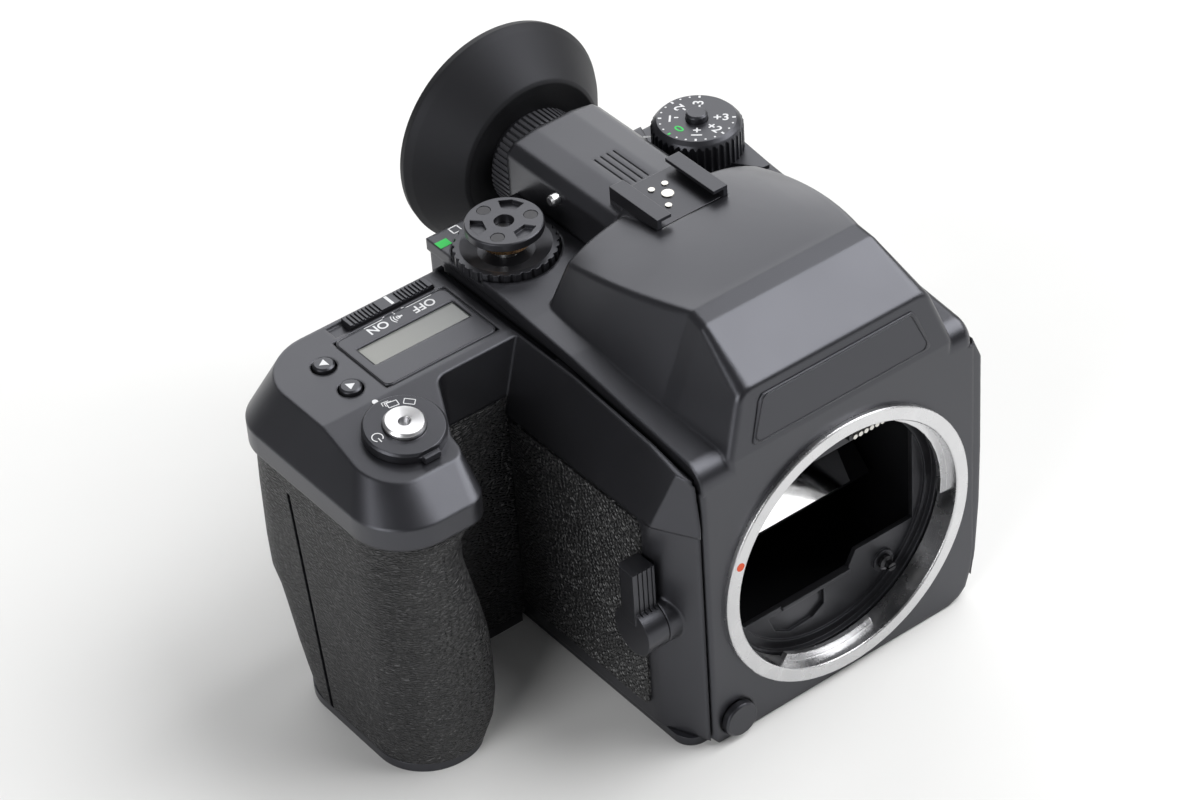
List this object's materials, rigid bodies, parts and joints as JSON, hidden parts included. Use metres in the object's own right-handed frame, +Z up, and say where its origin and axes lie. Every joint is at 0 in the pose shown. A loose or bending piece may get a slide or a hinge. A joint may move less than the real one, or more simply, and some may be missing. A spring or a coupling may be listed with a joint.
{
  "type": "medium format film camera body",
  "caption": "Medium format film camera body with prism finder, side grip, bayonet lens mount, control dials and a rear film insert.",
  "frame": {"origin": "mouth of the tripod socket in the base plate, under the lens axis", "axes": "+X to the right seen from the front (away from the grip), +Y from the lens mount to the film back, +Z up"},
  "size_m": [0.1501, 0.1351, 0.1212],
  "materials": {
    "cover_plastic": "satin moulded black",
    "panel_plastic": "satin moulded black",
    "metal_black": "semi-matt black paint",
    "frame_alloy": "flat black die casting",
    "grip_rubber": "grained black rubber",
    "leatherette": "grained black leatherette",
    "cup_rubber": "smooth dark grey rubber",
    "ring_steel": "turned bright steel",
    "button_steel": "satin chrome",
    "screw_steel": "blackened steel",
    "shoe_steel": "black plated sheet steel",
    "contact_gold": "plated contact",
    "spring_brass": "bare brass",
    "optical_glass": "polished",
    "display_window": "clear window over a grey display",
    "screen_acrylic": "ground matt screen",
    "mirror_surface": "front-silvered",
    "curtain_alloy": "thin black blades",
    "plate_steel": "blackened flat plate",
    "spool_plastic": "moulded black",
    "control_plastic": "moulded black",
    "bush_steel": "machined steel",
    "cell_jacket": "printed steel jacket",
    "stud_chrome": "bright tip"
  },
  "bodies": {
    "camera": {"base_plate": "metal_black", "tripod_sockets": "bush_steel", "chassis": "frame_alloy", "name_plate": "panel_plastic", "top_cover": "cover_plastic", "eyepiece_housing": "cover_plastic", "eyepiece_stud": "stud_chrome", "eyepiece_lens": "optical_glass", "eyecup": "cup_rubber", "accessory_shoe": "shoe_steel", "shoe_contacts": "contact_gold", "dial_posts": "bush_steel", "side_shell": "panel_plastic", "leatherette_panels": "leatherette", "left_side_cover": "panel_plastic", "grip_core": "frame_alloy", "grip_rubber": "grip_rubber", "battery_cells": "cell_jacket", "grip_cap": "cover_plastic", "grip_foot": "control_plastic", "display_bezel": "control_plastic", "display_glass": "display_window", "mount_ring": "ring_steel", "mount_ring_screws": "screw_steel", "throat_baffle": "frame_alloy", "contact_pins": "contact_gold", "focusing_screen": "screen_acrylic", "finder_prism": "optical_glass"},
    "switch": {"main_switch": "control_plastic"},
    "up_key": {"up_button": "control_plastic"},
    "down_key": {"down_button": "control_plastic"},
    "drive": {"drive_dial": "control_plastic"},
    "release": {"release_button": "button_steel"},
    "speed_dial": {"speed_dial_carrier": "control_plastic", "carrier_screws": "screw_steel", "click_spring": "spring_brass"},
    "meter": {"metering_ring": "control_plastic"},
    "comp_dial": {"compensation_dial": "control_plastic"},
    "comp_lock": {"dial_lock_button": "control_plastic"},
    "comp_lever": {"compensation_lever": "control_plastic"},
    "dioptre": {"dioptre_ring": "control_plastic"},
    "preview": {"preview_lever": "control_plastic"},
    "lens_release": {"lens_release_button": "metal_black"},
    "mirror": {"mirror_holder": "metal_black", "mirror_glass": "mirror_surface"},
    "coupler": {"focus_coupler": "button_steel"},
    "insert": {"film_insert": "spool_plastic", "pressure_plate": "plate_steel", "film_back": "cover_plastic"},
    "supply": {"supply_spool": "spool_plastic"},
    "takeup": {"takeup_spool": "spool_plastic"},
    "latch": {"back_latch": "metal_black"},
    "battery_key": {"battery_lock": "control_plastic"},
    "first_blade_1": {"first_curtain_blade_1": "curtain_alloy"},
    "first_blade_2": {"first_curtain_blade_2": "curtain_alloy"},
    "first_blade_3": {"first_curtain_blade_3": "curtain_alloy"},
    "second_blade_1": {"second_curtain_blade_1": "curtain_alloy"},
    "second_blade_2": {"second_curtain_blade_2": "curtain_alloy"},
    "second_blade_3": {"second_curtain_blade_3": "curtain_alloy"}
  },
  "joints": [
    {"name": "main_switch_slide", "type": "slide", "parent": "camera", "child": "switch", "axis": [-1, 0, 0], "range_m": [0, 0.0042]},
    {"name": "up_button_press", "type": "slide", "parent": "camera", "child": "up_key", "axis": [0, 0, -1], "range_m": [0, 0.0007], "stiffness_N_per_m": 250, "springref_m": -0.001},
    {"name": "down_button_press", "type": "slide", "parent": "camera", "child": "down_key", "axis": [0, 0, -1], "range_m": [0, 0.0007], "stiffness_N_per_m": 250, "springref_m": -0.001},
    {"name": "drive_dial_turn", "type": "hinge", "parent": "camera", "child": "drive", "pos_m": [-0.0843, 0.0184, 0.08623], "axis": [0, -0.1392, 0.9903], "range_deg": [0, 40]},
    {"name": "release_press", "type": "slide", "parent": "camera", "child": "release", "axis": [0, 0.1392, -0.9903], "range_m": [0, 0.0011], "stiffness_N_per_m": 250, "springref_m": -0.001},
    {"name": "shutter_dial_turn", "type": "hinge", "parent": "camera", "child": "speed_dial", "pos_m": [-0.0302, 0.0504, 0.1], "axis": [0, 0, 1], "continuous": true},
    {"name": "metering_ring_turn", "type": "hinge", "parent": "camera", "child": "meter", "pos_m": [-0.0302, 0.0504, 0.094], "axis": [0, 0, 1], "range_deg": [-30, 30]},
    {"name": "compensation_dial_turn", "type": "hinge", "parent": "camera", "child": "comp_dial", "pos_m": [0.0292, 0.0504, 0.099], "axis": [0, 0, 1], "range_deg": [-108, 108]},
    {"name": "dial_lock_press", "type": "slide", "parent": "comp_dial", "child": "comp_lock", "axis": [0, 0, -1], "range_m": [0, 0.0011], "stiffness_N_per_m": 250, "springref_m": -0.001},
    {"name": "compensation_lever_turn", "type": "hinge", "parent": "camera", "child": "comp_lever", "pos_m": [0.0292, 0.0504, 0.0944], "axis": [0, 0, 1], "range_deg": [-12, 12]},
    {"name": "dioptre_turn", "type": "hinge", "parent": "camera", "child": "dioptre", "pos_m": [0, 0.074, 0.091], "axis": [0, 1, 0], "range_deg": [-120, 120]},
    {"name": "preview_lever_turn", "type": "hinge", "parent": "camera", "child": "preview", "pos_m": [-0.052, -0.0263, 0.0379], "axis": [-1, 0, 0], "range_deg": [0, 20], "stiffness_Nm_per_rad": 0.02, "springref_deg": -17.19},
    {"name": "lens_release_press", "type": "slide", "parent": "camera", "child": "lens_release", "axis": [0, 1, 0], "range_m": [0, 0.0014], "stiffness_N_per_m": 250, "springref_m": -0.001},
    {"name": "mirror_lift", "type": "hinge", "parent": "camera", "child": "mirror", "pos_m": [0, 0.023, 0.067], "axis": [-1, 0, 0], "range_deg": [0, 45]},
    {"name": "focus_coupler_spin", "type": "hinge", "parent": "camera", "child": "coupler", "pos_m": [0.0175, -0.0311, 0.0198], "axis": [0, 1, 0], "continuous": true},
    {"name": "first_curtain_run", "type": "slide", "parent": "camera", "child": "first_blade_3", "axis": [0, 0, -1], "range_m": [0, 0.0431]},
    {"name": "first_curtain_middle", "type": "slide", "parent": "camera", "child": "first_blade_2", "axis": [0, 0, -1], "range_m": [0, 0.0289]},
    {"name": "first_curtain_last", "type": "slide", "parent": "camera", "child": "first_blade_1", "axis": [0, 0, -1], "range_m": [0, 0.0148]},
    {"name": "second_curtain_run", "type": "slide", "parent": "camera", "child": "second_blade_1", "axis": [0, 0, -1], "range_m": [0, 0.0432]},
    {"name": "second_curtain_middle", "type": "slide", "parent": "camera", "child": "second_blade_2", "axis": [0, 0, -1], "range_m": [0, 0.0289]},
    {"name": "second_curtain_last", "type": "slide", "parent": "camera", "child": "second_blade_3", "axis": [0, 0, -1], "range_m": [0, 0.0148]},
    {"name": "film_insert_slide", "type": "slide", "parent": "camera", "child": "insert", "axis": [0, 1, 0], "range_m": [0, 0.012]},
    {"name": "supply_spool_spin", "type": "hinge", "parent": "insert", "child": "supply", "pos_m": [0, 0.0479, 0.0206], "axis": [1, 0, 0], "continuous": true},
    {"name": "takeup_spool_spin", "type": "hinge", "parent": "insert", "child": "takeup", "pos_m": [0, 0.0479, 0.0626], "axis": [1, 0, 0], "continuous": true},
    {"name": "back_latch_turn", "type": "hinge", "parent": "insert", "child": "latch", "pos_m": [0, 0.066, 0.0402], "axis": [0, 1, 0], "range_deg": [0, 90]},
    {"name": "battery_lock_turn", "type": "hinge", "parent": "camera", "child": "battery_key", "pos_m": [-0.09, 0.02, 0.0007], "axis": [0, 0, 1], "range_deg": [0, 90]}
  ],
  "couplings": [
    {"joint": "first_curtain_middle", "follows": "first_curtain_run", "ratio": 0.6659},
    {"joint": "first_curtain_last", "follows": "first_curtain_run", "ratio": 0.3387},
    {"joint": "second_curtain_middle", "follows": "second_curtain_run", "ratio": 0.6644},
    {"joint": "second_curtain_last", "follows": "second_curtain_run", "ratio": 0.338}
  ]
}
